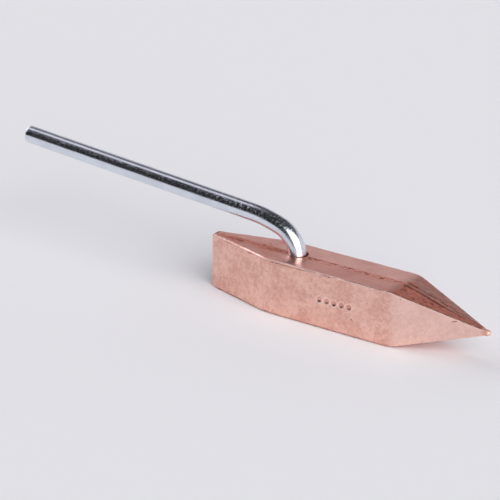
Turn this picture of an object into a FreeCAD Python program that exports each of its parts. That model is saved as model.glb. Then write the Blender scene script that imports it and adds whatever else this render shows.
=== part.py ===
import FreeCAD, Part
import math
import os

# Hammer-form soldering bit: a forged copper head riveted to a bent steel rod.
# Millimetres.  +X runs towards the soldering point, +Y across the head, +Z up.
# The origin is on the underside, midway along and across the whole tool.

V = FreeCAD.Vector

# ---- driving dimensions -------------------------------------------------------------

# Copper head, measured from the axis of its rod hole
HEAD_WIDTH = 21.0        # across the two long sides
EDGE_HEIGHT = 22.0       # from the lower to the upper long edges
RIDGE_RISE = 0.25        # draft: how far each parting line stands proud of those edges
LAND_WIDTH = 6.0         # flat ground along the lower parting line, which the head rests on
NOSE_REACH = 39.0        # rod hole to the blunt end of the wedge
NOSE_WIDTH = 3.0         # width of that blunt end
REAR_SHOULDER = 8.0      # rod hole back to where the wedge starts
FRONT_SHOULDER = 47.8    # rod hole forward to where the point starts
APEX_REACH = 86.3        # rod hole to the apex that the four point faces aim at
APEX_HEIGHT = 11.4       # of that apex above the lower long edges
TIP_RADIUS = 1.2         # rounded, slightly blunt working tip
TIP_REACH = 84.8         # rod hole to the end of the tip
TIP_NECK = 4.4           # the point faces stop this far short of that apex

SHOULDER_RADIUS = 28.0   # soft bends of the sides at the two shoulders
BROW_RADIUS = 15.0       # soft bends of the top and underside where the point starts
NOSE_END_RADIUS = 1.6    # upper and lower edges of the blunt end
NOSE_SIDE_RADIUS = 0.9   # upright edges of the blunt end
EDGE_RADIUS = 0.6        # all long edges

# Round, bright-plated steel rod
ROD_DIAMETER = 6.9
ROD_REACH = 130.2        # rod hole back to the free end
BEND_START_DEPTH = 2.0   # the bend starts this far below the top of the head
TIGHT_RADIUS = 12.0      # centre-line radius of the tight bend
TIGHT_ANGLE = 70.0
EASY_RADIUS = 50.0       # the bend then eases off at this radius
ROD_PITCH = 4.3          # the straight run rises this much towards its free end
ROD_END_CHAMFER = 0.7

# Rod hole and rivet
HOLE_CLEARANCE = 0.1     # radial
MOUTH_RADIUS = 4.0       # the hole flares at the top, where the rod was bent over
MOUTH_DEPTH = 3.0
RIVET_RADIUS = 5.2       # countersink on the underside, filled by the peened rod end
RIVET_DEPTH = 1.7
RIVET_RECESS = 0.2       # the peened end stays this far above the underside
RIVET_CLEARANCE = 0.05   # between the peened end and its countersink

# Plain punch marks on the near side
MARK_COUNT = 5
MARK_PITCH = 3.3
MARK_X = 23.5            # rod hole to the middle mark
MARK_HEIGHT = 11.4       # above the lower long edges
MARK_RADIUS = 1.2        # of the dimple at the surface
MARK_DEPTH = 0.4

# ---- derived dimensions -------------------------------------------------------------

HALF_WIDTH = HEAD_WIDTH / 2
SLOPE = RIDGE_RISE / HALF_WIDTH                  # of the top and bottom facets
UNDER_RISE = RIDGE_RISE - SLOPE * LAND_WIDTH / 2  # lower long edges above the land
HOLE_X = (ROD_REACH - TIP_REACH) / 2             # puts the origin midway along the tool
TOP_RIDGE_Z = UNDER_RISE + EDGE_HEIGHT + RIDGE_RISE
APEX_Z = UNDER_RISE + APEX_HEIGHT
ROD_RADIUS = ROD_DIAMETER / 2
HOLE_RADIUS = ROD_RADIUS + HOLE_CLEARANCE


# ---- copper head --------------------------------------------------------------------

def section(x, half_width):
    """Corners of the near half of the forging at x: its facets slope to the parting lines."""
    draft = RIDGE_RISE - SLOPE * half_width
    return [
        V(x, -half_width, UNDER_RISE - draft),
        V(x, 0, UNDER_RISE - RIDGE_RISE),
        V(x, 0, TOP_RIDGE_Z),
        V(x, -half_width, UNDER_RISE + EDGE_HEIGHT + draft),
    ]


def towards_apex(points, x):
    """The same corners carried along the point faces to a plane at x."""
    apex = V(HOLE_X + APEX_REACH, 0, APEX_Z)
    moved = []
    for point in points:
        share = (x - point.x) / (apex.x - point.x)
        moved.append(point + (apex - point) * share)
    return moved


def face(points):
    return Part.Face(Part.makePolygon(points + [points[0]]))


def block(rear, front):
    """Solid between two matching sections."""
    faces = [face(rear), face(front)]
    for i in range(len(rear)):
        j = (i + 1) % len(rear)
        faces.append(face([rear[i], rear[j], front[j], front[i]]))
    solid = Part.Solid(Part.Shell(faces))
    if solid.Volume < 0:
        solid.reverse()
    return solid


def upright_edge(shape, x, half_width):
    """Vertical edge of the near half at x and at that distance from the middle plane."""
    def fits(edge):
        a, b = edge.Vertexes[0].Point, edge.Vertexes[-1].Point
        upright = abs(a.x - b.x) < 0.001 and abs(a.y - b.y) < 0.001
        return upright and abs(a.x - x) < 0.02 and abs(a.y + half_width) < 0.02
    return [edge for edge in shape.Edges if fits(edge)]


def cross_edges(shape, x):
    """Upper and lower edges that run across the near half at x."""
    def fits(edge):
        a, b = edge.Vertexes[0].Point, edge.Vertexes[-1].Point
        level = abs(a.x - b.x) < 0.001 and abs(a.z - b.z) < 1
        return level and abs(a.x - x) < 0.02 and abs(a.y - b.y) > 0.5
    return [edge for edge in shape.Edges if fits(edge)]


def long_edges(shape):
    """Every remaining sharp edge of the near half, leaving out its cut face at y = 0."""
    def fits(edge):
        a, b = edge.Vertexes[0].Point, edge.Vertexes[-1].Point
        upright = abs(a.x - b.x) < 0.001 and abs(a.y - b.y) < 0.001
        return not upright and abs(a.y) > 0.001 and abs(b.y) > 0.001
    return [edge for edge in shape.Edges if fits(edge)]


def near_half():
    """Wedge, main length and point of the near half, with its bends and edges rounded."""
    nose_x = HOLE_X - NOSE_REACH
    rear_x = HOLE_X - REAR_SHOULDER
    front_x = HOLE_X + FRONT_SHOULDER
    nose = section(nose_x, NOSE_WIDTH / 2)
    rear = section(rear_x, HALF_WIDTH)
    front = section(front_x, HALF_WIDTH)
    neck = towards_apex(front, HOLE_X + APEX_REACH - TIP_NECK)
    body = block(nose, rear).fuse([block(rear, front), block(front, neck)]).removeSplitter()
    body = body.makeFillet(BROW_RADIUS, cross_edges(body, front_x))
    shoulders = upright_edge(body, rear_x, HALF_WIDTH) + upright_edge(body, front_x, HALF_WIDTH)
    body = body.makeFillet(SHOULDER_RADIUS, shoulders)
    body = body.makeFillet(NOSE_END_RADIUS, cross_edges(body, nose_x))
    body = body.makeFillet(NOSE_SIDE_RADIUS, upright_edge(body, nose_x, NOSE_WIDTH / 2))
    return body.makeFillet(EDGE_RADIUS, long_edges(body))


def forging():
    half = near_half()
    other = half.mirror(V(0, 0, 0), V(0, 1, 0))
    return half.fuse(other).removeSplitter()


def tip():
    """Short rounded nib that blunts the point."""
    root = V(HOLE_X + APEX_REACH - TIP_NECK - 1.0, 0, APEX_Z)
    end = V(HOLE_X + TIP_REACH - TIP_RADIUS, 0, APEX_Z)
    nib = Part.makeCylinder(TIP_RADIUS, end.x - root.x, root, V(1, 0, 0))
    return nib.fuse(Part.makeSphere(TIP_RADIUS, end))


def rod_hole():
    """Through hole with a flared mouth above and a countersink for the rivet below."""
    bore = Part.makeCylinder(HOLE_RADIUS, TOP_RIDGE_Z + 2, V(HOLE_X, 0, -1))
    above = 1.0
    flare = (MOUTH_RADIUS - HOLE_RADIUS) / MOUTH_DEPTH
    mouth = Part.makeCone(HOLE_RADIUS, MOUTH_RADIUS + flare * above, MOUTH_DEPTH + above,
                          V(HOLE_X, 0, TOP_RIDGE_Z - MOUTH_DEPTH))
    rivet_flare = (RIVET_RADIUS - HOLE_RADIUS) / RIVET_DEPTH
    countersink = Part.makeCone(RIVET_RADIUS + rivet_flare * above, HOLE_RADIUS, RIVET_DEPTH + above,
                                V(HOLE_X, 0, -above))
    return bore.fuse([mouth, countersink])


def punch_marks():
    """Row of shallow round dimples across the middle of the near side."""
    ball = (MARK_RADIUS ** 2 + MARK_DEPTH ** 2) / (2 * MARK_DEPTH)
    first = HOLE_X + MARK_X - MARK_PITCH * (MARK_COUNT - 1) / 2
    marks = []
    for i in range(MARK_COUNT):
        centre = V(first + i * MARK_PITCH, -HALF_WIDTH + MARK_DEPTH - ball, UNDER_RISE + MARK_HEIGHT)
        marks.append(Part.makeSphere(ball, centre))
    return marks


def copper_head():
    body = forging().fuse(tip())
    length = NOSE_REACH + TIP_REACH + 10
    below = Part.makeBox(length, HEAD_WIDTH * 2, 5, V(HOLE_X - NOSE_REACH - 5, -HEAD_WIDTH, -5))
    return body.cut([below, rod_hole()] + punch_marks()).removeSplitter()


# ---- steel rod ----------------------------------------------------------------------

def arc_run(start, lean, radius, sweep):
    """Arc in the XZ plane that leans ever further back: returns the edge and its far end."""
    centre = start - V(math.cos(lean), 0, math.sin(lean)) * radius
    ends = []
    for turn in (sweep / 2, sweep):
        angle = lean + turn
        ends.append(centre + V(math.cos(angle), 0, math.sin(angle)) * radius)
    return Part.Arc(start, ends[0], ends[1]).toShape(), ends[1]


def rod_path():
    """Centre line: straight up the hole, tight bend, easing bend, straight run to the free end."""
    foot = V(HOLE_X, 0, RIVET_RECESS)
    bend = V(HOLE_X, 0, TOP_RIDGE_Z - BEND_START_DEPTH)
    tight = math.radians(TIGHT_ANGLE)
    easy = math.radians(90 - TIGHT_ANGLE - ROD_PITCH)
    pitch = math.radians(ROD_PITCH)
    first, bend_end = arc_run(bend, 0.0, TIGHT_RADIUS, tight)
    second, run_start = arc_run(bend_end, tight, EASY_RADIUS, easy)
    reach = ROD_REACH - ROD_RADIUS * math.sin(pitch)
    run = (run_start.x - (HOLE_X - reach)) / math.cos(pitch)
    run_end = run_start + V(-math.cos(pitch), 0, math.sin(pitch)) * run
    edges = [Part.makeLine(foot, bend), first, second, Part.makeLine(run_start, run_end)]
    return Part.Wire(edges), run_end


def end_chamfer(run_end):
    """Ring cut from the rod's free end to break its sharp edge."""
    pitch = math.radians(ROD_PITCH)
    along = V(-math.cos(pitch), 0, math.sin(pitch))
    depth = ROD_END_CHAMFER
    sleeve = Part.makeCylinder(ROD_RADIUS + 2, depth + 1, run_end - along * depth, along)
    kept = Part.makeCone(ROD_RADIUS, ROD_RADIUS - depth - 1, depth + 1, run_end - along * depth, along)
    return sleeve.cut(kept)


def rivet_head():
    """Peened lower end of the rod, filling the countersink."""
    flare = (RIVET_RADIUS - HOLE_RADIUS) / RIVET_DEPTH
    wide = RIVET_RADIUS - flare * RIVET_RECESS - RIVET_CLEARANCE
    height = RIVET_DEPTH - RIVET_RECESS - 2 * RIVET_CLEARANCE
    return Part.makeCone(wide, ROD_RADIUS, height, V(HOLE_X, 0, RIVET_RECESS))


def steel_rod():
    path, run_end = rod_path()
    foot = path.Vertexes[0].Point
    profile = Part.Wire(Part.makeCircle(ROD_RADIUS, foot, V(0, 0, 1)))
    rod = path.makePipeShell([profile], True, True)
    if rod.Volume < 0:
        rod.reverse()
    return rod.cut(end_chamfer(run_end)).fuse(rivet_head()).removeSplitter()


# ---- parts --------------------------------------------------------------------------

def save(name, shape):
    solids = shape.Solids
    if len(solids) != 1 or not shape.isValid():
        raise ValueError(f"{name}: expected one valid solid, found {len(solids)}")
    solids[0].exportStep(f"parts/{name}.step")
    print(name, "volume", round(solids[0].Volume), "mm3, box", solids[0].BoundBox)


os.makedirs("parts", exist_ok=True)
save("copper_head", copper_head())
save("steel_rod", steel_rod())
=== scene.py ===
import math
import bpy
import numpy as np
from mathutils import Matrix, Vector


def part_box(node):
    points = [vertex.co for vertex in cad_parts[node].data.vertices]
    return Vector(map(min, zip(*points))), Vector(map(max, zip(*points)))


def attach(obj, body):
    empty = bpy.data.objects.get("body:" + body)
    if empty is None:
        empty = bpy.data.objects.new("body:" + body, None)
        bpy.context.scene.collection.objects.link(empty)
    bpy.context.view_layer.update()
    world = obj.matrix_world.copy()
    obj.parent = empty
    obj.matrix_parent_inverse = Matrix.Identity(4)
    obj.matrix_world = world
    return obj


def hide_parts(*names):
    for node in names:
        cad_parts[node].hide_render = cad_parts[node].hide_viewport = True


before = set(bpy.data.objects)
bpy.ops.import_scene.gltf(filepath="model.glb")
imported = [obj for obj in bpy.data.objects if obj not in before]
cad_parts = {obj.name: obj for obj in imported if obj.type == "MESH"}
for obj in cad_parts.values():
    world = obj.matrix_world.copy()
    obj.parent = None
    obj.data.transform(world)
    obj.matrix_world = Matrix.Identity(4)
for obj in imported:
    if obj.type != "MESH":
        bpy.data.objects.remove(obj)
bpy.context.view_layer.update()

# Hammer-form soldering bit: a forged copper head on a bent, bright-plated steel rod.
# Lengths below are in millimetres, in the frame's own axes: +X to the soldering point, +Z up.

MM = 0.001
head_low, head_high = (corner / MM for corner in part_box("copper_head"))
rod_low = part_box("steel_rod")[0] / MM

# ---- sizes of the head ----------------------------------------------------------------
NOSE_X = head_low.x
TIP_X = head_high.x
HALF_WIDTH = head_high.y
HOLE_X = NOSE_X + 39.0
REAR_X = HOLE_X - 8.0             # the wedge starts here
FRONT_X = HOLE_X + 47.8           # the point starts here
APEX_X = HOLE_X + 86.3            # where the faces of the point aim
NOSE_HALF = 1.5
EDGE_HEIGHT = 22.0
RIDGE_RISE = 0.25
SLOPE = RIDGE_RISE / HALF_WIDTH
LAND_HALF = 3.0                   # half the width of the flat land below
UNDER_RISE = RIDGE_RISE - SLOPE * LAND_HALF
EDGE_Z = UNDER_RISE + EDGE_HEIGHT
TOP_Z = EDGE_Z + RIDGE_RISE
APEX_Z = UNDER_RISE + 11.4
TIP_RADIUS = 1.2
SKIN = 0.06                       # the smooth skin lies this far inside the box, which leaves room for relief

NIB_START = APEX_X - 4.4          # the point thins into its round nib from here
SIDE_BLEND = 1.1                  # softness of the shoulders
BROW_BLEND = 0.65
NOSE_BLEND = 0.8
END_BLEND = 2.3
EDGE_BLEND = 0.5
KEEN_BLEND = 0.12
TIP_BLEND = 0.4
BEVEL_DEPTH = 0.25                # the upper long edges are hammered down a little
BEVEL_TILT = math.radians(60)

# ---- sizes of the rod and its hole -----------------------------------------------------
ROD_RADIUS = 3.45
BEND_Z = TOP_Z - 2.0
TIGHT_RADIUS = 12.0
TIGHT_ANGLE = math.radians(70)
EASY_RADIUS = 50.0
ROD_PITCH = math.radians(4.3)
ROD_END_X = rod_low.x + ROD_RADIUS * math.sin(ROD_PITCH)
END_ROUND = 0.7
HOLE_RADIUS = 3.55
MOUTH_RADIUS = 4.0
MOUTH_DEPTH = 3.0
MOUTH_SHIFT = 0.2                 # the flare is on the front side, away from the bend
RIVET_RADIUS = 5.2
RIVET_DEPTH = 1.7
RIVET_RECESS = 0.2
RIVET_CLEARANCE = 0.05            # between the peened end and its countersink
RIVET_DOME = 0.12
ROUND_STEPS = 72                  # vertices round the rod and round its hole
SHARP_DEGREES = 42                # creases steeper than this stay sharp when shaded

MARK_X = HOLE_X + 23.5
MARK_Z = UNDER_RISE + 11.4
MARK_PITCH = 3.3
MARK_COUNT = 5
MARK_RADIUS = 0.95
MARK_DEPTH = 0.40
MARK_RIM = 1.4                    # radius of the burr raised round each mark


# ---- smooth random fields --------------------------------------------------------------
# From here on, p is an array of points (N x 3, in mm) and n holds their unit normals.

LONG = 60.0                       # a wavelength along which the noise hardly changes


class Field:
    """Repeatable smooth noise in space, between about -1 and 1."""

    def __init__(self, seed, size=32):
        self.size = size
        self.grid = np.random.default_rng(seed).uniform(-1, 1, (size, size, size))

    def at(self, points, wavelength):
        """Values at points (N x 3, in mm); wavelength is one number or one for each axis."""
        offset = 100.5                # puts the middle plane between two lattice points
        place = points / np.asarray(wavelength) + offset
        cell = np.floor(place).astype(int)
        share = place - cell
        share = share * share * (3 - 2 * share)
        total = np.zeros(len(place))
        for dx in (0, 1):
            for dy in (0, 1):
                for dz in (0, 1):
                    weight = (share[:, 0] if dx else 1 - share[:, 0])
                    weight = weight * (share[:, 1] if dy else 1 - share[:, 1])
                    weight = weight * (share[:, 2] if dz else 1 - share[:, 2])
                    i = (cell + (dx, dy, dz)) % self.size
                    total += weight * self.grid[i[:, 0], i[:, 1], i[:, 2]]
        return total


WAVE, DETAIL, ROUGH, STREAK = Field(11), Field(12), Field(13), Field(14)


def smooth_max(a, b, blend):
    """The larger of a and b, rounded over where they are within blend of each other."""
    near = np.maximum(blend - np.abs(a - b), 0) / blend
    return np.maximum(a, b) + near * near * blend / 4


def step(x, low, high):
    """0 below low, 1 above high, smooth between."""
    t = np.clip((x - low) / (high - low), 0, 1)
    return t * t * (3 - 2 * t)


def bell(x, middle, reach):
    """1 at the middle, falling to about a third at reach from it."""
    return np.exp(-((x - middle) / reach) ** 2)


# ---- copper head: its smooth skin ---------------------------------------------------------

def plane(p, through, normal):
    """Signed distance of points beyond a plane."""
    outward = np.array(normal, float)
    outward /= np.linalg.norm(outward)
    return (p - np.array(through)) @ outward


def side_distance(p):
    """Distance beyond the near or far side: wedge, main length and point, softly joined."""
    q = p.copy()
    q[:, 1] = np.abs(q[:, 1])
    shoulder = (REAR_X, HALF_WIDTH, 0)
    wedge = plane(q, shoulder, (-(HALF_WIDTH - NOSE_HALF), REAR_X - NOSE_X, 0))
    main = q[:, 1] - HALF_WIDTH
    point = plane(q, (FRONT_X, HALF_WIDTH, 0), (HALF_WIDTH, APEX_X - FRONT_X, 0))
    return smooth_max(smooth_max(wedge, main, SIDE_BLEND), point, SIDE_BLEND)


def upper_distance(p):
    """Distance beyond the top: two facets to a parting line, and the two facets of the point."""
    y = np.abs(p[:, 1])
    flat = (p[:, 2] - (TOP_Z - SLOPE * y)) * math.cos(math.atan(SLOPE))
    run = APEX_X - FRONT_X
    drop = TOP_Z - APEX_Z
    facet = p[:, 2] - APEX_Z - (drop * (APEX_X - p[:, 0]) / run - SLOPE * y)
    facet = facet * math.cos(math.atan(drop / run))
    return smooth_max(flat, facet, BROW_BLEND)


def lower_distance(p):
    """The same for the underside, with the flat land it rests on."""
    y = np.abs(p[:, 1])
    flat = (UNDER_RISE - RIDGE_RISE + SLOPE * y) - p[:, 2]
    run = APEX_X - FRONT_X
    drop = APEX_Z - (UNDER_RISE - RIDGE_RISE)
    facet = APEX_Z - (drop * (APEX_X - p[:, 0]) / run - SLOPE * y) - p[:, 2]
    facet = facet * math.cos(math.atan(drop / run))
    land = -p[:, 2] - SKIN
    return np.maximum(smooth_max(flat, facet, BROW_BLEND), land)


def skin(p):
    """Below 0 inside the forging, above 0 outside."""
    at_nose = 1 - step(p[:, 0], NOSE_X + 1, NOSE_X + 3.5)
    ends = np.maximum(upper_distance(p), lower_distance(p))
    sides = side_distance(p)
    nose = NOSE_X - p[:, 0]
    crown = smooth_max(ends, nose, END_BLEND)
    flank = smooth_max(sides, nose, NOSE_BLEND)
    at_point = step(p[:, 0], FRONT_X - 1, FRONT_X + 3)
    keen = np.maximum(step(p[:, 2], MARK_Z, MARK_Z + 2), at_point)
    blend = EDGE_BLEND + (KEEN_BLEND - EDGE_BLEND) * keen + (END_BLEND - EDGE_BLEND) * 0.35 * at_nose
    body = np.maximum(np.maximum(crown, flank), smooth_max(sides, ends, blend))
    lighter = 1 - 0.6 * step(p[:, 0], HOLE_X + 14, HOLE_X + 34)
    depth = BEVEL_DEPTH * lighter + 0.03 * ROUGH.at(p, (2.4, LONG, LONG))
    bevel = sides * math.cos(BEVEL_TILT) + ends * math.sin(BEVEL_TILT) + depth
    body = np.maximum(body, np.where(p[:, 2] > MARK_Z, bevel - 5 * at_point - 5 * at_nose, -5))
    nib_end = TIP_X - TIP_RADIUS
    body = np.maximum(body, p[:, 0] - (nib_end - 0.4))
    beyond = np.maximum(p[:, 0] - nib_end, 0)
    before = np.maximum((TIP_X - 8) - p[:, 0], 0)
    off_axis = p - (0, 0, APEX_Z)
    off_axis[:, 0] = beyond + before * 4
    nib = np.linalg.norm(off_axis, axis=1) - TIP_RADIUS
    return -smooth_max(-body, -nib, TIP_BLEND) + SKIN


# ---- copper head: its mesh --------------------------------------------------------------

def spread(low, high, coarse, fine_bands):
    """Positions from low to high, coarse apart, but closer in each (middle, reach, spacing) band."""
    samples = 4000
    s = np.linspace(low, high, samples)
    density = np.full(samples, 1 / coarse)
    for middle, reach, spacing in fine_bands:
        near = 1 - step(np.abs(s - middle), reach, reach * 1.5)
        density = np.maximum(density, near / spacing)
    total = np.concatenate([[0], np.cumsum((density[1:] + density[:-1]) / 2 * np.diff(s))])
    count = int(math.ceil(total[-1]))
    return np.interp(np.linspace(0, total[-1], count + 1), total, s)


def around():
    """Points round a unit box: (across, up) from -1 to 1, closer at the edges and the parting line."""
    half_h = EDGE_HEIGHT / 2
    corner = 1.2
    mark_band = (MARK_Z - UNDER_RISE - half_h, 2.0, 0.24)
    near = spread(-half_h, half_h, 0.5, [(-half_h, corner, 0.2), (half_h, corner, 0.14), mark_band]) / half_h
    top = spread(-HALF_WIDTH, HALF_WIDTH, 0.45,
                 [(-HALF_WIDTH, corner, 0.14), (0, 1.6, 0.17), (HALF_WIDTH, corner, 0.18)]) / HALF_WIDTH
    far = spread(-half_h, half_h, 0.7, [(-half_h, corner, 0.24), (half_h, corner, 0.2)]) / half_h
    under = spread(-HALF_WIDTH, HALF_WIDTH, 0.7,
                   [(-HALF_WIDTH, corner, 0.24), (0, 0.9, 0.24), (HALF_WIDTH, corner, 0.24)]) / HALF_WIDTH
    loop = [(-1, up) for up in near[:-1]]
    loop += [(across, 1) for across in top[:-1]]
    loop += [(1, up) for up in far[::-1][:-1]]
    loop += [(across, -1) for across in under[::-1][:-1]]
    return np.array(loop)


def half_width(x):
    """Half the width of the head at x, before any rounding."""
    wedge = NOSE_HALF + (HALF_WIDTH - NOSE_HALF) * (x - NOSE_X) / (REAR_X - NOSE_X)
    point = HALF_WIDTH * (APEX_X - x) / (APEX_X - FRONT_X)
    return np.clip(np.minimum(np.minimum(wedge, HALF_WIDTH), point), TIP_RADIUS, None)


def half_height(x):
    """Half the height of its long edges at x."""
    point = EDGE_HEIGHT / 2 * (APEX_X - x) / (APEX_X - FRONT_X)
    return np.clip(np.minimum(EDGE_HEIGHT / 2, point), TIP_RADIUS, None)


def middle_z(x):
    """Height midway between its long edges at x."""
    centre = UNDER_RISE + EDGE_HEIGHT / 2
    return centre + (APEX_Z - centre) * np.clip((x - FRONT_X) / (APEX_X - FRONT_X), 0, 1)


def rays():
    """Start points and directions, one row for each ring of vertices round the head."""
    loop = around()
    first = NOSE_X + 1.3
    last = TIP_X - TIP_RADIUS
    marks = (MARK_X, MARK_PITCH * MARK_COUNT / 2 + 0.9, 0.24)
    stations = spread(first, last, 0.4, [marks, (last, 3.0, 0.2), (first, 1.0, 0.25)])
    rings = [(x, 1.0, 0.0) for x in stations]
    nose_turns = np.linspace(0, math.pi / 2, 22)[1:-1]
    tip_turns = np.linspace(0, math.pi / 2, 12)[1:-1]
    nose_rings = [(first, math.cos(turn), -math.sin(turn)) for turn in nose_turns]
    tip_rings = [(last, math.cos(turn), math.sin(turn)) for turn in tip_turns]
    rings = nose_rings[::-1] + rings + tip_rings
    end_reach = 1.4                   # mm that the rays over either end lean along the head
    starts = []
    ways = []
    for x, outward, along in rings:
        across = loop[:, 0] * half_width(x) * outward
        up = loop[:, 1] * half_height(x) * outward
        starts.append(np.tile((x, 0, middle_z(x)), (len(loop), 1)))
        ways.append(np.column_stack([np.full(len(loop), along * end_reach), across, up]))
    return np.array(starts), np.array(ways)


def cast(starts, ways):
    """Where each ray leaves the skin, found by halving."""
    furthest = 1.6
    halvings = 26
    low = np.zeros(len(starts))
    high = np.full(len(starts), furthest)
    for _ in range(halvings):
        middle = (low + high) / 2
        inside = skin(starts + ways * middle[:, None]) < 0
        low = np.where(inside, middle, low)
        high = np.where(inside, high, middle)
    return starts + ways * low[:, None]


def skin_normal(p):
    """Unit normals of the skin, from its change over a small step each way."""
    small = 0.02
    columns = []
    for axis in range(3):
        shift = np.zeros(3)
        shift[axis] = small
        columns.append(skin(p + shift) - skin(p - shift))
    n = np.column_stack(columns)
    return n / np.linalg.norm(n, axis=1)[:, None]


class Finish:
    """Relief over the smooth skin in mm, and shares of colouring, built up point by point."""

    def __init__(self, p, n):
        x, y, z = p.T
        self.p, self.n = p, n
        self.x, self.y, self.z = x, y, z
        self.on_side = step(np.abs(n[:, 1]), 0.5, 0.85)
        self.on_near_side = (y < 0) * self.on_side
        self.on_top = step(n[:, 2], 0.6, 0.9)
        self.on_face = step(np.abs(n[:, 2]), 0.6, 0.9)
        brow = FRONT_X + 0.3 * DETAIL.at(p, (LONG, 2.5, LONG))
        self.on_point = step(x, brow - 0.8, brow + 1.2)
        self.on_flat = 1 - self.on_point
        self.behind = 1 - step(x, HOLE_X - 1, HOLE_X + 9)
        self.clear_of_ends = step(x, NOSE_X + 1, NOSE_X + 3) * (1 - step(x, TIP_X - 4.5, TIP_X - 3))
        self.over_edge = half_width(x) - np.abs(y)
        self.off_seam = y + 0.07 * DETAIL.at(p, (9, LONG, LONG)) + 0.04 * ROUGH.at(p, (1.4, LONG, LONG))
        self.cleaned = np.zeros(len(p))

        # gentle unevenness of a forged and dressed surface, browner on top towards the rear
        self.relief = 0.04 * WAVE.at(p, 9) + 0.022 * WAVE.at(p, 4.1)
        self.relief += 0.012 * DETAIL.at(p, 1.7) * (1 + self.on_face)
        rearward = 1 - step(x, HOLE_X - 12, HOLE_X + 14)
        self.tarnish_and_shade = 0.08 + 0.07 * WAVE.at(p, 6) + 0.07 * DETAIL.at(p, 2.4)
        self.tarnish_and_shade += self.on_top * self.on_flat * (0.10 + 0.22 * rearward)
        # the sides grow paler towards the point: partly a cleaner polish, partly painted reflection
        forward = 0.12 * step(x, HOLE_X + 5, HOLE_X + 40) + 0.45 * step(x, FRONT_X - 1, FRONT_X + 2)
        self.burnish_and_sheen = self.on_side * forward
        self.bloom = self.on_face * (1 - 0.45 * step(y, -0.2, 0.6))
        self.bloom *= (1 - 0.5 * self.on_point) * (1 - 0.3 * self.behind)

    def result(self):
        """Relief, then tarnish with painted shade, burnish with painted sheen, bloom and dullness; the nib is
        left clean and dull.
        """
        on_nib = step(self.x, NIB_START - 1.2, NIB_START + 0.4)
        tarnish_and_shade = self.tarnish_and_shade * (1 - self.cleaned) * (1 - on_nib)
        burnish_and_sheen = self.burnish_and_sheen + (0.3 - self.burnish_and_sheen) * on_nib
        bloom = self.bloom * (1 - on_nib)
        return self.relief, np.clip(tarnish_and_shade, 0, 1), np.clip(burnish_and_sheen, 0, 1), np.clip(bloom, 0, 1), on_nib


def long_edges(f):
    """A dark line beside each long edge, partly tarnish and partly painted shade; a painted contact shadow
    along the lower edges; upper corners paler with wear and a painted highlight; and cleaner edges on the
    point.
    """
    from_edge = half_height(f.x) - np.abs(f.z - middle_z(f.x))
    down = from_edge - f.over_edge                # above 0 on the sides, below 0 on the top
    uneven = DETAIL.at(f.p, (4.5, LONG, LONG)) + 0.5 * ROUGH.at(f.p, (1.2, LONG, LONG))
    fainter = 1 - 0.5 * step(f.x, FRONT_X - 18, FRONT_X)
    upper = step(f.z, MARK_Z - 2, MARK_Z + 2)
    line = bell(down, 0.75, 0.24) * f.clear_of_ends * f.on_flat
    strength = np.clip(0.5 + 0.7 * uneven, 0.1, 1) * fainter
    # partly tarnish, partly painted shade: a dark line just inside each edge
    f.tarnish_and_shade += 0.95 * line * strength * (0.3 + 0.7 * upper)
    # painted contact shadow along the lower edges
    f.tarnish_and_shade += 0.8 * bell(down, 0.1, 0.35) * (1 - upper) * f.clear_of_ends * f.on_flat
    # painted highlight, partly rubbed wear, along the upper edges
    f.burnish_and_sheen += 1.2 * bell(down, 0.0, 0.45) * f.clear_of_ends * fainter * upper
    f.cleaned = bell(down, 0.0, 0.35) * f.on_point * (0.45 + 0.4 * step(f.y, 0, 1))


def parting_line(f):
    """A fine ragged seam, with a smear beside it, mostly at the rear, and a rough band in front."""
    broken = 0.65 + 0.5 * ROUGH.at(f.p, (1.6, LONG, LONG)) + 0.4 * DETAIL.at(f.p, (5, LONG, LONG))
    seam = bell(f.off_seam, -0.1, 0.4) * np.clip(broken, 0, 1) * (1 - 0.9 * f.behind)
    smear = bell(f.off_seam + 1.3 + 0.3 * DETAIL.at(f.p, (9, LONG, LONG)), 0, 1.9) * (0.3 + 0.7 * f.behind)
    smear *= step(f.x, NOSE_X + 1, NOSE_X + 5) * np.clip(0.85 + 0.3 * STREAK.at(f.p, (7, 1.6, LONG)), 0, 1)
    rough = bell(f.off_seam, -1.2, 1.1) * (1 - f.behind) * step(ROUGH.at(f.p, (0.9, 0.6, LONG)), -0.3, 0.4)
    f.relief -= f.on_face * f.on_flat * (0.035 * seam + 0.02 * rough)
    f.tarnish_and_shade += f.on_face * f.on_flat * (0.7 * seam + 0.65 * rough + f.on_top * 0.38 * smear)


def point_facets(f):
    """Rough dark facets above and below the point, with a flattened flash between two creases."""
    here = f.on_face * f.on_point
    patch = 0.62 + 0.20 * WAVE.at(f.p, (5, 3, LONG)) + 0.20 * DETAIL.at(f.p, (1.8, 1.2, LONG))
    f.tarnish_and_shade += here * patch * (1 - 0.42 * step(f.y, 0.3, 3))
    f.relief += here * step(f.over_edge, 0.4, 1.2) * 0.03 * ROUGH.at(f.p, 1.0)
    width = 0.40 + 0.75 * np.clip((TIP_X - f.x) / (TIP_X - FRONT_X), 0, 1)
    out = np.abs(f.off_seam) / width
    flash = 1 - step(out, 0.5, 0.85)
    ragged = 0.75 + 0.6 * DETAIL.at(f.p, (2.6, LONG, LONG)) * np.sign(f.off_seam)
    crease = bell(out, 1.1, 0.36) * np.clip(ragged, 0.25, 1)
    f.relief += here * f.clear_of_ends * (0.05 * flash - 0.15 * crease)
    f.tarnish_and_shade += here * f.clear_of_ends * (0.75 * crease - 0.25 * flash)


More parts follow.
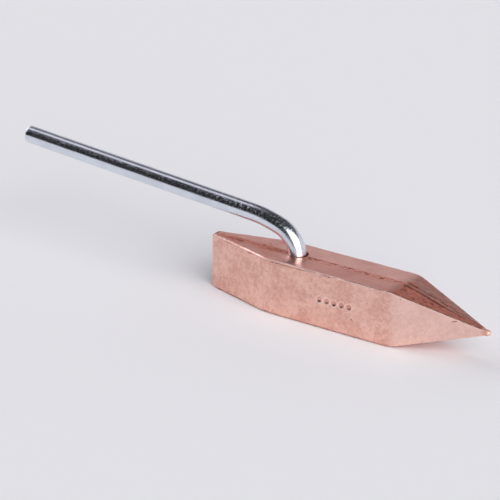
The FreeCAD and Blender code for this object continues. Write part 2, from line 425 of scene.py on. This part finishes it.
def mouth_shade_and_dark_crown(f):
    """Painted shade in the rod's mouth and in a dark halo on its front side, and a darker upper end of the
    wedge.
    """
    from_hole = np.hypot(f.x - HOLE_X, f.y)
    # painted shade: a dark halo on the top round the front of the mouth, where the gap beside the rod lies
    ring = (1 - step(from_hole, MOUTH_RADIUS + 0.05, MOUTH_RADIUS + 0.3)) * f.on_face
    f.tarnish_and_shade += 0.9 * step(f.x - HOLE_X, 0, 3) * ring
    # painted shade: the walls of the hole are made fully dark
    in_hole = (from_hole < HOLE_RADIUS + 0.75) & (f.n[:, 2] < 0.9)
    f.tarnish_and_shade = np.where(in_hole, 1.0, f.tarnish_and_shade)
    # the upper end of the wedge, where the surface faces back and up, is darkened
    crown = step(-f.n[:, 0], 0.02, 0.15) * step(f.n[:, 2], 0.1, 0.3)
    f.tarnish_and_shade += 1.1 * crown * (1 - step(np.abs(f.n[:, 1]), 0.2, 0.4))


def marks_of_use(f):
    """A crease near the nose darkened with painted shade, a smudge, a few pits and a slanting dent, all on
    the near side.
    """
    near = f.on_near_side
    height = f.z - UNDER_RISE
    crease_x = NOSE_X + 5.2 + 0.12 * DETAIL.at(f.p, (LONG, LONG, 5))
    line = bell(f.x, crease_x, 0.32) * np.clip(0.6 + 0.6 * ROUGH.at(f.p, (LONG, LONG, 3)), 0, 1)
    # painted shade darkens the shallow crease
    f.relief -= 0.04 * near * line
    f.tarnish_and_shade += 0.5 * near * line
    from_smudge = np.hypot(f.x - (HOLE_X - 2.8), height - 6.6) + 0.8 * DETAIL.at(f.p, 2.5)
    f.tarnish_and_shade += near * 0.30 * bell(from_smudge, 0, 2.8)
    # each pit: x from the hole, height above the lower edges, reach and depth
    pits = [
        (31.2, 6.8, 0.45, 0.16),
        (31.9, 6.2, 0.30, 0.08),
        (51.7, 19.6, 0.30, 0.12),
        (-4.6, 21.3, 0.50, 0.16),
        (47.0, 10.4, 0.30, 0.10),
        (-5.6, 7.6, 0.30, 0.06),
    ]
    for pit_x, pit_height, reach, depth in pits:
        pit = bell(np.hypot(f.x - (HOLE_X + pit_x), height - pit_height), 0, reach)
        f.relief -= near * depth * pit
        f.tarnish_and_shade += near * 0.8 * pit
    along = f.x - HOLE_X - 71.6
    dent = np.hypot(along * 0.5, (height - 14.2 - 0.25 * along) * 2.2)
    f.relief -= near * 0.16 * bell(dent, 0, 0.8)
    f.tarnish_and_shade += near * 0.75 * bell(dent, 0, 0.7)


def punch_marks(f):
    """Row of plain round marks on the near side, each with a low burr round it."""
    near = f.on_near_side
    for i in range(MARK_COUNT):
        mark_x = MARK_X + (i - (MARK_COUNT - 1) / 2) * MARK_PITCH
        away = np.hypot(f.x - mark_x, f.z - MARK_Z)
        hollow = np.exp(-(away / MARK_RADIUS) ** 4)
        f.relief += near * (0.05 * bell(away, MARK_RIM, 0.25) - MARK_DEPTH * hollow)
        f.tarnish_and_shade += near * (0.40 * hollow + 0.35 * bell(away, MARK_RADIUS, 0.3))
        f.burnish_and_sheen += near * 0.8 * bell(away, MARK_RIM, 0.3)


def surface(p, n):
    """Relief over the smooth skin in mm, then tarnish with painted shade, burnish with painted sheen, rosy
    bloom and dullness from 0 to 1.
    """
    f = Finish(p, n)
    for add in (long_edges, parting_line, point_facets, mouth_shade_and_dark_crown, marks_of_use, punch_marks):
        add(f)
    return f.result()


def grid_mesh(name, points):
    """Mesh of rings (rows x columns x 3, in mm) joined into a tube with both ends capped."""
    rows, columns, _ = points.shape
    start_cap = points[0].mean(axis=0)
    end_cap = points[-1].mean(axis=0)
    verts = np.vstack([points.reshape(-1, 3), start_cap, end_cap]) * MM
    ring, column = np.meshgrid(np.arange(rows - 1), np.arange(columns), indexing="ij")
    following = (column + 1) % columns
    corners = [ring * columns + column, ring * columns + following,
               (ring + 1) * columns + following, (ring + 1) * columns + column]
    faces = np.stack(corners, -1).reshape(-1, 4).tolist()
    last_ring = (rows - 1) * columns
    for column in range(columns):
        following = (column + 1) % columns
        faces.append([rows * columns, following, column])
        faces.append([rows * columns + 1, last_ring + column, last_ring + following])
    mesh = bpy.data.meshes.new(name)
    mesh.from_pydata(verts.tolist(), [], faces)
    mesh.update()
    return mesh


def add_object(name, mesh):
    piece = bpy.data.objects.new(name, mesh)
    bpy.context.scene.collection.objects.link(piece)
    return piece


def apply_modifiers(piece):
    depsgraph = bpy.context.evaluated_depsgraph_get()
    mesh = bpy.data.meshes.new_from_object(piece.evaluated_get(depsgraph))
    piece.modifiers.clear()
    piece.data = mesh


def smooth_shade(piece, degrees):
    for polygon in piece.data.polygons:
        polygon.use_smooth = True
    piece.data.set_sharp_from_angle(angle=math.radians(degrees))


def paint(mesh, name, values):
    """Stores one number for each vertex, which the material reads by name."""
    layer = mesh.attributes.new(name, "FLOAT", "POINT")
    layer.data.foreach_set("value", np.ascontiguousarray(values, dtype=np.float32))


def positions(mesh):
    flat = np.empty(len(mesh.vertices) * 3, dtype=np.float32)
    mesh.vertices.foreach_get("co", flat)
    return flat.reshape(-1, 3).astype(float) / MM


def hole_cutter():
    """Solid in the shape of the rod hole: countersink, bore and flared mouth."""
    slope = (MOUTH_RADIUS - HOLE_RADIUS) / MOUTH_DEPTH
    sink = (RIVET_RADIUS - HOLE_RADIUS) / RIVET_DEPTH
    beyond = 1.0                      # the cutter passes the underside and the top by this much
    lip = 0.3                         # the last of the mouth opens a little more
    extra = 0.05
    above = 0.02
    profile = [
        (RIVET_RADIUS + sink * beyond, -beyond),
        (HOLE_RADIUS, RIVET_DEPTH),
        (HOLE_RADIUS, TOP_Z - MOUTH_DEPTH),
        (MOUTH_RADIUS - slope * lip, TOP_Z - lip),
        (MOUTH_RADIUS + extra, TOP_Z + above),
        (MOUTH_RADIUS + extra + slope * beyond, TOP_Z + beyond),
    ]
    turn = np.linspace(0, 2 * math.pi, ROUND_STEPS, endpoint=False)
    rings = []
    for radius, z in profile:
        flare = MOUTH_SHIFT if z > TOP_Z - MOUTH_DEPTH else 0.0
        radius = radius - flare
        across = radius * np.sin(turn)
        along = HOLE_X + flare + radius * np.cos(turn)
        rings.append(np.column_stack([along, across, np.full(ROUND_STEPS, z)]))
    return grid_mesh("hole_cutter", np.array(rings))


def make_head():
    """The head: its skin with the relief on it, cut by the rod hole and painted with the shares."""
    starts, ways = rays()
    shape = starts.shape
    p = cast(starts.reshape(-1, 3), ways.reshape(-1, 3))
    n = skin_normal(p)
    relief = surface(p, n)[0]
    p = p + n * np.minimum(relief, SKIN)[:, None]
    p[:, 2] = np.maximum(p[:, 2], 0)
    head = add_object("head", grid_mesh("head", p.reshape(shape)))
    cutter = add_object("cutter", hole_cutter())
    cut = head.modifiers.new("hole", "BOOLEAN")
    cut.operation = "DIFFERENCE"
    cut.solver = "EXACT"
    cut.object = cutter
    apply_modifiers(head)
    bpy.data.objects.remove(cutter)
    smooth_shade(head, SHARP_DEGREES)
    p = positions(head.data)
    for name, share in zip(("tarnish_and_shade", "burnish_and_sheen", "bloom", "dull"), surface(p, skin_normal(p))[1:]):
        paint(head.data, name, share)
    return head


# ---- steel rod ------------------------------------------------------------------------

def rod_line():
    """Points along the rod's centre line and its backward lean at each, from the foot to the free end."""
    foot_step, bend_step, run_step = 0.6, 0.4, 0.45
    line = [(HOLE_X, z, 0.0) for z in np.arange(RIVET_RECESS + RIVET_DEPTH, BEND_Z, foot_step)]
    x, z, lean = HOLE_X, BEND_Z, 0.0
    for radius, sweep in ((TIGHT_RADIUS, TIGHT_ANGLE), (EASY_RADIUS, math.pi / 2 - TIGHT_ANGLE - ROD_PITCH)):
        count = int(radius * sweep / bend_step)
        turn = sweep / count
        for _ in range(count):
            line.append((x, z, lean))
            x -= radius * (math.cos(lean) - math.cos(lean + turn))
            z += radius * (math.sin(lean + turn) - math.sin(lean))
            lean += turn
    length = (x - ROD_END_X) / math.cos(ROD_PITCH)
    for s in np.linspace(0, length, int(length / run_step)):
        line.append((x - s * math.sin(lean), z + s * math.cos(lean), lean))
    return np.array(line)


def rod_stations():
    """Centre x and z, lean and radius of each ring, from the peened foot to the free end."""
    line = rod_line()
    x, z, lean = line[0]
    sink = (RIVET_RADIUS - HOLE_RADIUS) / RIVET_DEPTH
    wide = RIVET_RADIUS - sink * RIVET_RECESS - RIVET_CLEARANCE
    stations = []
    for share in (0.2, 0.4, 0.6, 0.8, 0.95):
        stations.append((x, RIVET_RECESS - RIVET_DOME * (1 - share ** 2), lean, wide * share))
    stations.append((x, RIVET_RECESS + RIVET_DOME, lean, wide))
    stations.append((x, RIVET_DEPTH - 0.1, lean, ROD_RADIUS))
    for x, z, lean in line[:-2]:
        stations.append((x, z, lean, ROD_RADIUS))
    x, z, lean = line[-1]
    for turn in np.linspace(0, math.pi / 2, 7):
        back = END_ROUND * (1 - math.sin(turn))
        radius = ROD_RADIUS - END_ROUND * (1 - math.cos(turn))
        stations.append((x + math.sin(lean) * back, z - math.cos(lean) * back, lean, radius))
    for share in (0.7, 0.4, 0.15):
        stations.append((x, z, lean, (ROD_RADIUS - END_ROUND) * share))
    return stations


def make_rod():
    """The rod, with its unrolled coordinates (run along it, outward, across) stored as wrap."""
    turn = np.linspace(0, 2 * math.pi, ROUND_STEPS, endpoint=False)
    rings = []
    wraps = []
    run = 0.0
    before = None
    for x, z, lean, radius in rod_stations():
        centre = np.array([x, 0, z])
        if before is not None:
            run += np.linalg.norm(centre - before)
        before = centre
        out = np.cos(turn) * radius
        across = np.sin(turn) * radius
        rings.append(np.column_stack([x + out * math.cos(lean), across, z + out * math.sin(lean)]))
        wraps.append(np.column_stack([np.full(ROUND_STEPS, run), out, across]))
    mesh = grid_mesh("rod", np.array(rings)[:, ::-1])
    wrap = np.array(wraps)[:, ::-1]
    wrap = np.vstack([wrap.reshape(-1, 3), wrap[0].mean(axis=0), wrap[-1].mean(axis=0)])
    layer = mesh.attributes.new("wrap", "FLOAT_VECTOR", "POINT")
    layer.data.foreach_set("vector", np.ascontiguousarray(wrap * MM, dtype=np.float32).ravel())
    rod = add_object("rod", mesh)
    smooth_shade(rod, SHARP_DEGREES)
    return rod


# ---- materials ------------------------------------------------------------------------

class Nodes:
    """Short way to add and link shader nodes."""

    def __init__(self, material):
        material.use_nodes = True
        self.tree = material.node_tree
        self.tree.nodes.clear()

    def add(self, kind, **settings):
        node = self.tree.nodes.new(kind)
        for name, value in settings.items():
            setattr(node, name, value)
        return node

    def put(self, value, socket):
        """Links an output, or sets a plain value."""
        if isinstance(value, bpy.types.NodeSocket):
            self.tree.links.new(value, socket)
        elif value is not None:
            socket.default_value = value

    def math(self, operation, a, b=None, c=None, clamp=False):
        node = self.add("ShaderNodeMath", operation=operation, use_clamp=clamp)
        for i, value in enumerate((a, b, c)):
            self.put(value, node.inputs[i])
        return node.outputs[0]

    def total(self, *terms):
        """Sum of values, each times its weight."""
        result = None
        for value, weight in terms:
            term = self.math("MULTIPLY", value, weight)
            result = term if result is None else self.math("ADD", result, term)
        return result

    def line(self, value, slope, offset):
        """value times slope, plus offset."""
        return self.math("ADD", self.math("MULTIPLY", value, slope), offset)

    def vector(self, operation, a, b=None):
        node = self.add("ShaderNodeVectorMath", operation=operation)
        self.put(a, node.inputs[0])
        self.put(b, node.inputs[1])
        return node.outputs["Value"] if operation == "DOT_PRODUCT" else node.outputs[0]

    def ramp(self, value, low, high, to_low=0.0, to_high=1.0, kind="SMOOTHSTEP"):
        node = self.add("ShaderNodeMapRange", interpolation_type=kind)
        inputs = {"Value": value, "From Min": low, "From Max": high, "To Min": to_low, "To Max": to_high}
        for name, setting in inputs.items():
            self.put(setting, node.inputs[name])
        return node.outputs[0]

    def noise(self, vector, scale, detail=2.0, rough=0.5, distortion=0.0):
        node = self.add("ShaderNodeTexNoise")
        self.put(vector, node.inputs["Vector"])
        node.inputs["Scale"].default_value = scale
        node.inputs["Detail"].default_value = detail
        node.inputs["Roughness"].default_value = rough
        node.inputs["Distortion"].default_value = distortion
        return node.outputs["Fac"]

    def stretched(self, vector, scales, lean_degrees=0.0):
        """Coordinates leaned about the across axis and scaled on each axis."""
        turn = self.add("ShaderNodeVectorRotate", rotation_type="Y_AXIS")
        self.put(vector, turn.inputs["Vector"])
        turn.inputs["Angle"].default_value = math.radians(lean_degrees)
        return self.vector("MULTIPLY", turn.outputs[0], scales)

    def mix(self, factor, a, b, kind="MIX"):
        node = self.add("ShaderNodeMix", data_type="RGBA", blend_type=kind)
        self.put(factor, node.inputs[0])
        self.put(a, node.inputs[6])
        self.put(b, node.inputs[7])
        return node.outputs[2]

    def attribute(self, name):
        return self.add("ShaderNodeAttribute", attribute_name=name).outputs["Fac"]

    def bump(self, height, distance, normal=None):
        node = self.add("ShaderNodeBump")
        node.inputs["Strength"].default_value = 1.0
        node.inputs["Distance"].default_value = distance
        self.put(height, node.inputs["Height"])
        self.put(normal, node.inputs["Normal"])
        return node.outputs[0]

    def metal(self, base, roughness, normal):
        shader = self.add("ShaderNodeBsdfPrincipled")
        shader.inputs["Metallic"].default_value = 1.0
        self.put(base, shader.inputs["Base Color"])
        self.put(roughness, shader.inputs["Roughness"])
        self.put(normal, shader.inputs["Normal"])
        out = self.add("ShaderNodeOutputMaterial")
        self.put(shader.outputs[0], out.inputs["Surface"])


def colour(r, g, b):
    return (r, g, b, 1.0)


DRESSED_DEEP = colour(0.75, 0.405, 0.325)
DRESSED_PALE = colour(0.93, 0.585, 0.49)
FLECK = colour(0.98, 0.69, 0.60)
SCORE = colour(0.68, 0.34, 0.27)
ROSY_DEEP = colour(0.86, 0.38, 0.30)
ROSY_PALE = colour(1.0, 0.50, 0.40)
BURNISHED_SHEEN = colour(1.0, 0.72, 0.64)
RED_DEEP = colour(0.72, 0.25, 0.18)
RED_PALE = colour(0.95, 0.39, 0.29)
BROWN = colour(0.60, 0.30, 0.235)
SCALE_AND_SHADE = colour(0.21, 0.08, 0.055)

ZINC_DEEP = colour(0.69, 0.735, 0.80)
ZINC_PALE = colour(0.76, 0.81, 0.875)
ZINC_SHADED = colour(0.14, 0.145, 0.155)

COPPER_BUMP = 0.00009                 # in metres
STEEL_BUMP = 0.00004


def copper_material():
    """Dressed copper: pink and satin where clean, rosy on the faces, paler with burnish and painted sheen,
    red then brown where tarnished and where shade is painted.
    """
    material = bpy.data.materials.new("forged_copper")
    nodes = Nodes(material)
    place = nodes.add("ShaderNodeTexCoord").outputs["Object"]
    tarnish_and_shade = nodes.attribute("tarnish_and_shade")
    burnish_and_sheen = nodes.attribute("burnish_and_sheen")
    bloom = nodes.attribute("bloom")
    cloud = nodes.noise(place, 110, 3, 0.55)
    mottle = nodes.noise(place, 600, 4, 0.65)
    grain = nodes.noise(place, 2300, 2, 0.6)
    flecks = nodes.noise(nodes.stretched(place, (480, 800, 1500), 48), 1.0, 3, 0.65)
    scores = nodes.noise(nodes.stretched(place, (380, 700, 1700), -35), 1.0, 2, 0.6)
    drawn = nodes.noise(nodes.stretched(place, (90, 1300, 1300)), 1.0, 3, 0.6)

    tone = nodes.total((cloud, 0.35), (mottle, 0.4), (grain, 0.25))
    base = nodes.mix(nodes.ramp(tone, 0.42, 0.58), DRESSED_DEEP, DRESSED_PALE)
    base = nodes.mix(nodes.math("MULTIPLY", nodes.ramp(flecks, 0.54, 0.70), 0.45), base, FLECK)
    base = nodes.mix(nodes.math("MULTIPLY", nodes.ramp(scores, 0.60, 0.75), 0.18), base, SCORE)
    rosy = nodes.mix(nodes.ramp(drawn, 0.35, 0.65), ROSY_DEEP, ROSY_PALE)
    base = nodes.mix(nodes.math("MULTIPLY", bloom, 0.8), base, rosy)
    # burnish and painted sheen make the copper paler
    base = nodes.mix(nodes.math("MULTIPLY", burnish_and_sheen, 0.8), base, BURNISHED_SHEEN)
    # tarnish and painted shade darken it to red, brown and then near black
    depth = nodes.math("ADD", tarnish_and_shade, nodes.math("MULTIPLY", nodes.math("SUBTRACT", mottle, 0.5), 0.8))
    red = nodes.mix(nodes.ramp(grain, 0.35, 0.65), RED_DEEP, RED_PALE)
    stain_and_shade = nodes.mix(nodes.ramp(bloom, 0.0, 0.25), BROWN, red)
    base = nodes.mix(nodes.ramp(depth, 0.28, 0.72), base, stain_and_shade)
    base = nodes.mix(nodes.ramp(depth, 0.66, 1.05), base, SCALE_AND_SHADE)

    satin = nodes.ramp(nodes.total((mottle, 0.6), (drawn, 0.4)), 0.35, 0.65, 0.27, 0.37)
    roughness = nodes.total((satin, 1.0), (nodes.ramp(depth, 0.28, 0.9), 0.28), (burnish_and_sheen, -0.14),
                            (nodes.attribute("dull"), 0.35), (bloom, 0.06))
    height = nodes.total((mottle, 0.7), (grain, 0.18), (drawn, 0.15))
    height = nodes.math("MULTIPLY", height, nodes.line(tarnish_and_shade, 0.9, 0.55))
    height = nodes.math("MULTIPLY", height, nodes.line(burnish_and_sheen, -0.6, 1.0))
    nodes.metal(base, roughness, nodes.bump(height, COPPER_BUMP))
    return material


def steel_material():
    """Bright zinc plate: bluish white, finely scratched along the rod, with short strokes across it."""
    material = bpy.data.materials.new("bright_zinc_plate")
    nodes = Nodes(material)
    wrap = nodes.add("ShaderNodeAttribute", attribute_name="wrap").outputs["Vector"]
    parts = nodes.add("ShaderNodeSeparateXYZ")
    nodes.put(wrap, parts.inputs[0])
    run, outward = parts.outputs[0], parts.outputs[1]
    cloud = nodes.noise(wrap, 130, 3, 0.6)
    grain = nodes.noise(nodes.vector("MULTIPLY", wrap, (2300, 3300, 3300)), 1.0, 3, 0.7)
    drawn = nodes.noise(nodes.vector("MULTIPLY", wrap, (220, 3400, 3400)), 1.0, 2, 0.6)
    across = nodes.noise(nodes.stretched(wrap, (4200, 700, 700), 18), 1.0, 2, 0.6)

    # the rod's underside is darker, and so is the rear of its foot
    base = nodes.mix(nodes.ramp(cloud, 0.35, 0.65), ZINC_DEEP, ZINC_PALE)
    dark_from, dark_to = -0.9 * ROD_RADIUS * MM, -0.65 * ROD_RADIUS * MM
    base = nodes.mix(nodes.ramp(outward, dark_from, dark_to, 0.9, 0.0), base, ZINC_SHADED)

    # strokes are strongest on the bend, and the foot above the hole is duller but smoother
    start, end = (BEND_Z + 3) * MM, (BEND_Z + 52) * MM
    on_bend = nodes.math("MULTIPLY", nodes.ramp(run, start, start + 4 * MM),
                         nodes.ramp(run, end - 22 * MM, end, 1.0, 0.0))
    strokes = nodes.math("MULTIPLY", nodes.ramp(across, 0.55, 0.68), nodes.line(on_bend, 0.3, 0.7))
    specks = nodes.ramp(grain, 0.56, 0.66)
    foot = nodes.ramp(run, start + 3 * MM, start + 16 * MM, 1.0, 0.0)
    roughness = nodes.line(foot, 0.10, 0.13)
    roughness = nodes.math("ADD", roughness, nodes.total((strokes, 0.19), (specks, 0.16)))
    height = nodes.total((grain, 0.7), (drawn, 0.3), (strokes, 0.3))
    height = nodes.math("MULTIPLY", height, nodes.line(foot, -0.7, 1.0))
    nodes.metal(base, roughness, nodes.bump(height, STEEL_BUMP))
    return material


# ---- camera, floor and light --------------------------------------------------------------

CAMERA_TURN = math.radians(35.1)      # round from straight in front of the near side
CAMERA_HEIGHT = math.radians(22.0)    # above the horizon
CAMERA_ROLL = math.radians(-0.52)
CAMERA_DISTANCE = 1.0539
AIM = Vector((HOLE_X - 14.76, -10.37, UNDER_RISE + 23.55)) * MM
FOCAL = 201.6

ahead_flat = Vector((-math.sin(CAMERA_TURN), math.cos(CAMERA_TURN), 0))
right = Vector((math.cos(CAMERA_TURN), math.sin(CAMERA_TURN), 0))
UP = Vector((0, 0, 1))

KEY = 5.84                            # brightness of the big soft box behind the camera
LEFT = 2.4                            # brightness of the softer one on the left
STRIP = 0.9                           # brightness of the narrow one above it
PAPER = colour(0.845, 0.85, 0.866)
KEY_TINT = colour(1.0, 0.995, 1.01)
SOFT_TINT = colour(1.0, 0.965, 1.055)     # of every other light


def look_matrix(across, upward, ahead):
    """Rotation of an object that faces along ahead."""
    return Matrix((across, upward, -ahead)).transposed().to_4x4()


def make_camera():
    ahead = ahead_flat * math.cos(CAMERA_HEIGHT) - UP * math.sin(CAMERA_HEIGHT)
    over = ahead_flat * math.sin(CAMERA_HEIGHT) + UP * math.cos(CAMERA_HEIGHT)
    across = right * math.cos(CAMERA_ROLL) - over * math.sin(CAMERA_ROLL)
    upward = right * math.sin(CAMERA_ROLL) + over * math.cos(CAMERA_ROLL)
    data = bpy.data.cameras.new("camera")
    data.lens = FOCAL
    data.sensor_width = 36
    data.clip_end = 50
    camera = bpy.data.objects.new("camera", data)
    bpy.context.scene.collection.objects.link(camera)
    camera.matrix_world = look_matrix(across, upward, ahead)
    camera.location = AIM - ahead * CAMERA_DISTANCE
    bpy.context.scene.camera = camera


def make_floor():
    size = 8.0
    corners = [(-size, -size, 0), (size, -size, 0), (size, size, 0), (-size, size, 0)]
    mesh = bpy.data.meshes.new("floor")
    mesh.from_pydata(corners, [], [(0, 1, 2, 3)])
    floor = add_object("floor", mesh)
    material = bpy.data.materials.new("pale_paper")
    nodes = Nodes(material)
    shader = nodes.add("ShaderNodeBsdfPrincipled")
    shader.inputs["Base Color"].default_value = PAPER
    shader.inputs["Roughness"].default_value = 0.9
    shader.inputs["Specular IOR Level"].default_value = 0.0
    out = nodes.add("ShaderNodeOutputMaterial")
    nodes.put(shader.outputs[0], out.inputs["Surface"])
    mesh.materials.append(material)


def direction(turn_degrees, height_degrees):
    """Unit vector; turn is clockwise from straight ahead of the camera."""
    turn, height = math.radians(turn_degrees), math.radians(height_degrees)
    flat = ahead_flat * math.cos(turn) + right * math.sin(turn)
    return flat * math.cos(height) + UP * math.sin(height)


def make_light():
    """Dark studio: a big soft box behind the camera, two small ones on the left, a pale sweep ahead."""
    world = bpy.data.worlds.new("studio")
    bpy.context.scene.world = world
    nodes = Nodes(world)
    way = nodes.add("ShaderNodeTexCoord").outputs["Generated"]
    height = nodes.vector("DOT_PRODUCT", way, tuple(UP))

    def panel(middle, half_wide, half_tall, soft_wide, soft_tall, strength):
        """Soft-edged rectangular panel seen in the direction middle."""
        side = middle.cross(UP).normalized()
        lift = side.cross(middle)
        facing = nodes.vector("DOT_PRODUCT", way, tuple(middle))
        front = nodes.math("MAXIMUM", facing, 0.001)
        inside = nodes.math("GREATER_THAN", facing, 0.01)
        for axis, half, soft in ((side, half_wide, soft_wide), (lift, half_tall, soft_tall)):
            off = nodes.math("DIVIDE", nodes.vector("DOT_PRODUCT", way, tuple(axis)), front)
            within = nodes.ramp(nodes.math("ABSOLUTE", off), half - soft, half + soft, 1.0, 0.0)
            inside = nodes.math("MULTIPLY", inside, within)
        return nodes.math("MULTIPLY", inside, strength)

    key = panel(direction(154, 27), half_wide=0.56, half_tall=0.42,
                soft_wide=0.16, soft_tall=0.16, strength=KEY)
    left = panel(direction(-52, 31), half_wide=0.38, half_tall=0.29,
                 soft_wide=0.22, soft_tall=0.16, strength=LEFT)
    strip = panel(direction(-40, 60), half_wide=0.22, half_tall=0.11,
                  soft_wide=0.08, soft_tall=0.06, strength=STRIP)
    ahead = nodes.vector("DOT_PRODUCT", way, tuple(direction(30, 0)))
    sweep = nodes.math("MULTIPLY", nodes.ramp(ahead, -0.2, 0.3),
                       nodes.ramp(height, 0.36, 0.64, 0.68, 0.04))
    dim = nodes.math("ADD", sweep, 0.03)
    soft = nodes.math("ADD", nodes.math("ADD", left, strip), dim)
    lights = []
    for tint, strength in ((KEY_TINT, key), (SOFT_TINT, soft)):
        background = nodes.add("ShaderNodeBackground")
        background.inputs["Color"].default_value = tint
        nodes.put(strength, background.inputs["Strength"])
        lights.append(background.outputs[0])
    total = nodes.add("ShaderNodeAddShader")
    nodes.put(lights[0], total.inputs[0])
    nodes.put(lights[1], total.inputs[1])
    out = nodes.add("ShaderNodeOutputWorld")
    nodes.put(total.outputs[0], out.inputs["Surface"])


# ---- the whole tool -----------------------------------------------------------------------

make_camera()
make_floor()
make_light()
bpy.context.scene.view_settings.view_transform = "Standard"

head = make_head()
head.data.materials.append(copper_material())
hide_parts("copper_head")
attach(head, "root")

rod = make_rod()
rod.data.materials.append(steel_material())
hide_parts("steel_rod")
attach(rod, "root")
